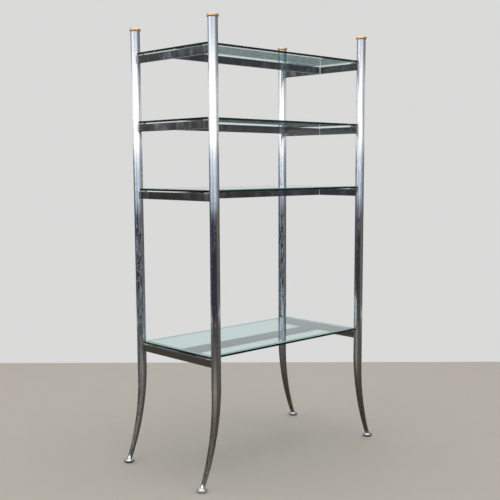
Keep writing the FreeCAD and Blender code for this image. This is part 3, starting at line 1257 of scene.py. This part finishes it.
@dataclass
class ReflectedFloor:
    """A painted reflection of a brown floor: a sheet under the stand that only the metal shows, lighter on
    the left before it.
    """

    sheet: Sheet
    colour: Colour = (0.13, 0.112, 0.095)
    light_colour: Colour = (0.58, 0.52, 0.45)
    near_colour: Colour = (0.06, 0.055, 0.05)
    mottle_colour: Colour = (0.12, 0.105, 0.09)
    light_band: Triple = (-0.5, 0.4, 0.85)
    light_span: Point = (-0.5, -0.25)
    near_span: Point = (-2.5, -1.2)
    rough: float = 0.9
    most_mottle: float = 0.25
    mottle_grain: Grain = Grain((1, 1, 1), 30, 4, 0.6, (0.3, 0.7))

    def build(self) -> None:
        """Lays the sheet, paints the floor's reflection on it and hides it from all but the metal."""
        item = self.sheet.lay("painted_floor_reflection")
        nodes = ShaderTree("painted_floor_reflection")
        # These colours are a painted reflection of the floor, mostly darker and browner than the pale floor
        # that the camera sees
        rightward, behind, _ = nodes.axes("UV")
        light = nodes.band(rightward, self.light_band)
        light = nodes.math("MULTIPLY", light, nodes.spread(behind, self.light_span, 1, 0))
        painted_tone = nodes.blend(light, self.colour, self.light_colour)
        painted_tone = nodes.blend(nodes.spread(behind, self.near_span, 1, 0), painted_tone, self.near_colour)
        shown = nodes.blend(nodes.pattern(self.mottle_grain, self.most_mottle), painted_tone, self.mottle_colour)
        nodes.set(Base_Color=shown, Roughness=self.rough)
        item.visible_camera = False
        item.visible_diffuse = False
        item.visible_transmission = False
        item.visible_shadow = False
        item.data.materials.append(nodes.material)


@dataclass
class Picture:
    """The nodes of the surround's picture, and where a point of it lies."""

    nodes: ShaderTree
    left: Socket
    away: Socket
    height: Socket

    def over_left(self, span: Point, start: float = 0.0, end: float = 1.0) -> Socket:
        """Returns a mark that changes across the picture, over a span of angles to the left."""
        return self.nodes.spread(self.left, span, start, end)

    def over_height(self, span: Point, start: float = 0.0, end: float = 1.0) -> Socket:
        """Returns a mark that changes up the picture, over a span of heights."""
        return self.nodes.spread(self.height, span, start, end)


@dataclass
class Surround:
    """A soft picture of a room all round, which only reflections show.

    Angles are in degrees to the left of the camera's own direction, and heights in metres. A band is its
    centre and the distances from it at which it begins to fade and has gone.
    """

    radius: float = 3.4
    top: float = 7.0
    steps: int = 96
    # The dark lower room and the streaked wall over it
    low_colour: Colour = (0.037, 0.04, 0.055)
    low_right_colour: Colour = (0.2, 0.16, 0.125)
    right_span: Point = (-60, -24)
    middle_colour: Colour = (0.55, 0.67, 0.84)
    middle_streak: Colour = (1.02, 1.12, 1.25)
    middle_right: Colour = (0.5, 0.52, 0.56)
    middle_left: Colour = (0.3, 0.34, 0.4)
    middle_streaks: tuple[Triple, Triple] = ((66, 6, 24), (-6, 8, 26))
    middle_left_span: Point = (82, 100)
    middle_rise: Point = (0.7, 0.84)
    # The wall over the windows, with one bright and one dark stripe
    upper_colour: Colour = (0.76, 0.84, 0.95)
    upper_bright: Colour = (1.25, 1.28, 1.32)
    upper_dark: Colour = (0.5, 0.57, 0.7)
    upper_right: Colour = (0.24, 0.26, 0.31)
    upper_bright_band: Triple = (64, 8, 26)
    upper_dark_band: Triple = (18, 4, 14)
    upper_right_span: Point = (-62, -32)
    upper_rise: Point = (1.55, 1.95)
    # The ceiling with two lit fields
    ceiling_colour: Colour = (0.25, 0.26, 0.28)
    ceiling_lit: Colour = (1.8, 1.8, 1.8)
    ceiling_fields: tuple[Triple, Triple] = ((48, 28, 42), (-34, 18, 32))
    ceiling_rise: Point = (2.5, 2.9)
    # The row of windows and the pale wall on either side of it
    window_colour: Colour = (2.3, 2.27, 2.22)
    window_rise: Point = (1.08, 1.28)
    window_fall: Point = (1.6, 1.86)
    window_right: Point = (-42, -32)
    window_left: Point = (112, 120)
    pale_colour: Colour = (1.3, 1.27, 1.25)
    pale_right: Colour = (1.2, 1.18, 1.15)
    pale_right_span: Point = (-104, -90)
    # The shade behind the stand on either side, thinner at the windows' height
    shade_colour: Colour = (0.07, 0.08, 0.1)
    shade_rise: Point = (98, 112)
    shade_fall: Point = (146, 160)
    shade_cover: float = 0.75
    shade_thinned: float = 0.65
    # Two grey jambs, one on either side
    jamb_low: Colour = (0.16, 0.157, 0.15)
    jamb_high: Colour = (0.24, 0.24, 0.243)
    jamb_bands: tuple[Triple, Triple] = ((92.3, 6, 8.5), (-87, 10.5, 13))
    jamb_fall: Point = (1.84, 1.92)
    jamb_rise: Point = (0.86, 1.1)
    # The wall behind the stand, as pale as the room and lit above
    back_colour: Colour = (ROOM_GREY, ROOM_GREY, ROOM_GREY)
    back_lit: Colour = (1.7, 1.7, 1.7)
    back_rise: Point = (1.9, 2.6)
    back_span: Point = (148, 160)

    def build(self) -> None:
        """Hangs the picture all round the stand."""
        shape = bmesh.new()
        layer = shape.loops.layers.uv.new("surround")
        lefts = [360.0 * index / self.steps - 180 for index in range(self.steps + 1)]
        marks = [[(left, height) for height in (0.0, self.top)] for left in lefts]
        rows = [[shape.verts.new(beside(mark[0], self.radius, mark[1])) for mark in pair] for pair in marks]
        for index in range(self.steps):
            corners = [(index, 0), (index + 1, 0), (index + 1, 1), (index, 1)]
            face = shape.faces.new([rows[column][rise] for column, rise in corners])
            for loop, (column, rise) in zip(face.loops, corners):
                loop[layer].uv = marks[column][rise]
        mesh = bpy.data.meshes.new("surround")
        shape.to_mesh(mesh)
        shape.free()
        item = new_object("surround", mesh)
        item.visible_camera = False
        item.visible_diffuse = False
        item.visible_shadow = False
        mesh.materials.append(self._light())

    def _light(self) -> Material:
        """Paints the picture as light.

        Returns:
            The material, clear for rays that haven't met metal or the face of a shelf.
        """
        nodes = ShaderTree("surround_light")
        left, height, _ = nodes.axes("UV")
        picture = Picture(nodes, left, nodes.math("ABSOLUTE", left), height)
        room = self._walls(picture)
        room = self._windows(picture, room)
        room = self._jambs(picture, room)
        back = nodes.blend(picture.over_height(self.back_rise), self.back_colour, self.back_lit)
        room = nodes.blend(nodes.spread(picture.away, self.back_span), room, back)

        path = nodes.add("ShaderNodeLightPath")
        mirrored = nodes.math("GREATER_THAN", path.outputs["Glossy Depth"], 0.5)
        shown = nodes.math("MAXIMUM", path.outputs["Is Glossy Ray"], mirrored)
        glow = nodes.add("ShaderNodeEmission", Color=room, Strength=1.0)
        clear = nodes.add("ShaderNodeBsdfTransparent")
        mixed = nodes.add("ShaderNodeMixShader")
        for socket, source in zip(mixed.inputs, (shown, clear.outputs[0], glow.outputs[0])):
            nodes.feed(socket, source)
        nodes.feed(nodes.output.inputs["Surface"], mixed.outputs[0])
        return nodes.material

    def _walls(self, picture: Picture) -> Socket:
        """Paints the walls from the floor up, and the ceiling over them.

        Args:
            picture: The picture's nodes.

        Returns:
            The painted colour's socket.
        """
        nodes = picture.nodes
        rightward = picture.over_left(self.right_span, 1, 0)
        low = nodes.blend(rightward, self.low_colour, self.low_right_colour)
        streaks = nodes.bands(picture.left, self.middle_streaks)
        middle = nodes.blend(streaks, self.middle_colour, self.middle_streak)
        middle = nodes.blend(rightward, middle, self.middle_right)
        middle = nodes.blend(picture.over_left(self.middle_left_span), middle, self.middle_left)
        upper = nodes.band(picture.left, self.upper_bright_band)
        upper = nodes.blend(upper, self.upper_colour, self.upper_bright)
        upper = nodes.blend(nodes.band(picture.left, self.upper_dark_band), upper, self.upper_dark)
        upper = nodes.blend(picture.over_left(self.upper_right_span, 1, 0), upper, self.upper_right)
        fields = nodes.bands(picture.left, self.ceiling_fields)
        ceiling = nodes.blend(fields, self.ceiling_colour, self.ceiling_lit)
        room = nodes.blend(picture.over_height(self.middle_rise), low, middle)
        room = nodes.blend(picture.over_height(self.upper_rise), room, upper)
        return nodes.blend(picture.over_height(self.ceiling_rise), room, ceiling)

    def _windows(self, picture: Picture, room: Socket) -> Socket:
        """Paints the row of windows, the pale wall beside it and the shade behind the stand.

        Args:
            picture: The picture's nodes.
            room: The colour painted so far.

        Returns:
            The painted colour's socket.
        """
        nodes = picture.nodes
        lit = nodes.between(picture.height, self.window_rise, self.window_fall)
        pale = picture.over_left(self.pale_right_span, 1, 0)
        room = nodes.blend(lit, room, nodes.blend(pale, self.pale_colour, self.pale_right))
        cover = nodes.math("MULTIPLY_ADD", lit, -self.shade_thinned, self.shade_cover)
        shaded = nodes.between(picture.away, self.shade_rise, self.shade_fall)
        room = nodes.blend(nodes.math("MULTIPLY", shaded, cover), room, self.shade_colour)
        across = nodes.between(picture.left, self.window_right, self.window_left)
        return nodes.blend(nodes.math("MULTIPLY", lit, across), room, self.window_colour)

    def _jambs(self, picture: Picture, room: Socket) -> Socket:
        """Paints the jambs, one on either side.

        Args:
            picture: The picture's nodes.
            room: The colour painted so far.

        Returns:
            The painted colour's socket.
        """
        nodes = picture.nodes
        jambs = nodes.bands(picture.left, self.jamb_bands)
        jambs = nodes.math("MULTIPLY", jambs, picture.over_height(self.jamb_fall, 1, 0))
        grey = nodes.blend(picture.over_height(self.jamb_rise), self.jamb_low, self.jamb_high)
        return nodes.blend(jambs, room, grey)


@dataclass
class Studio:
    """A pale floor in a pale room, with soft lamps and a surround that the metal shows."""

    room_colour: Colour = (ROOM_GREY, ROOM_GREY, ROOM_GREY * 0.995)
    floor: Sheet = Sheet(side=3.0, front=2.2, back=1.43)
    # The sheet that carries the painted reflection of the floor
    reflected_floor: Sheet = Sheet(side=3.0, front=3.3, back=1.5, height=2 * MM)
    # Two soft lamps over the stand, one to either side
    lamp_lefts: Point = (100, -80)
    lamp_distance: float = 0.8
    lamp_height: float = 3.5
    lamp_width: float = 1.0
    lamp_length: float = 2.4
    lamp_power: float = 13.0

    def build(self) -> None:
        """Sets the room's light, the floor, the surround, the painted floor reflection and the lamps."""
        bpy.context.scene.view_settings.view_transform = "Standard"
        self._room()
        Floor(self.floor).build()
        Surround().build()
        ReflectedFloor(self.reflected_floor).build()
        self._lamps()

    def _room(self) -> None:
        """Gives the room its pale grey."""
        world = bpy.data.worlds.new("pale_room")
        world.use_nodes = True
        grey = next(node for node in world.node_tree.nodes if node.type == "BACKGROUND")
        grey.inputs["Color"].default_value = (*self.room_colour, 1)
        grey.inputs["Strength"].default_value = 1.0
        bpy.context.scene.world = world

    def _lamps(self) -> None:
        """Hangs two wide soft lamps over the stand, side by side."""
        for left in self.lamp_lefts:
            light = bpy.data.lights.new("soft_lamp", "AREA")
            light.shape = "RECTANGLE"
            light.size = self.lamp_width
            light.size_y = self.lamp_length
            light.energy = self.lamp_power
            item = bpy.data.objects.new("soft_lamp", light)
            item.location = beside(left, self.lamp_distance, self.lamp_height)
            item.rotation_euler = (0, 0, -VIEW_YAW)
            bpy.context.scene.collection.objects.link(item)


def main() -> None:
    """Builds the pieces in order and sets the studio."""
    logging.basicConfig(level=logging.INFO, format="%(name)s: %(message)s")
    post_chrome = ChromeFinish("post_chrome", haze=1.0, bloom=0.12)
    rail_chrome = ChromeFinish(
        "rail_chrome",
        colour=(0.2, 0.199, 0.197),
        worn_colour=(0.36, 0.38, 0.42),
        # Low on these rails, a browner painted reflection of the floor
        leg_reflection_colour=(0.33, 0.3, 0.26),
        leg_span=(0.42, 0.6),
        drawn_grain=Grain((0.3, 0.3, 1), 150, 2, 0.45),
        polish=0.1,
        smudge=0.25,
        wiped=0.6,
        pits=0.4,
        braze=1.0,
        dust=1.0,
    )
    Posts().build(post_chrome.build())
    Caps().build(BrassFinish().build())
    Rails().build(rail_chrome.build())
    Pads().build(RubberFinish().build())
    Shelves().build(GlassFinish().build())
    Camera().build()
    Studio().build()


if __name__ == "__main__":
    main()
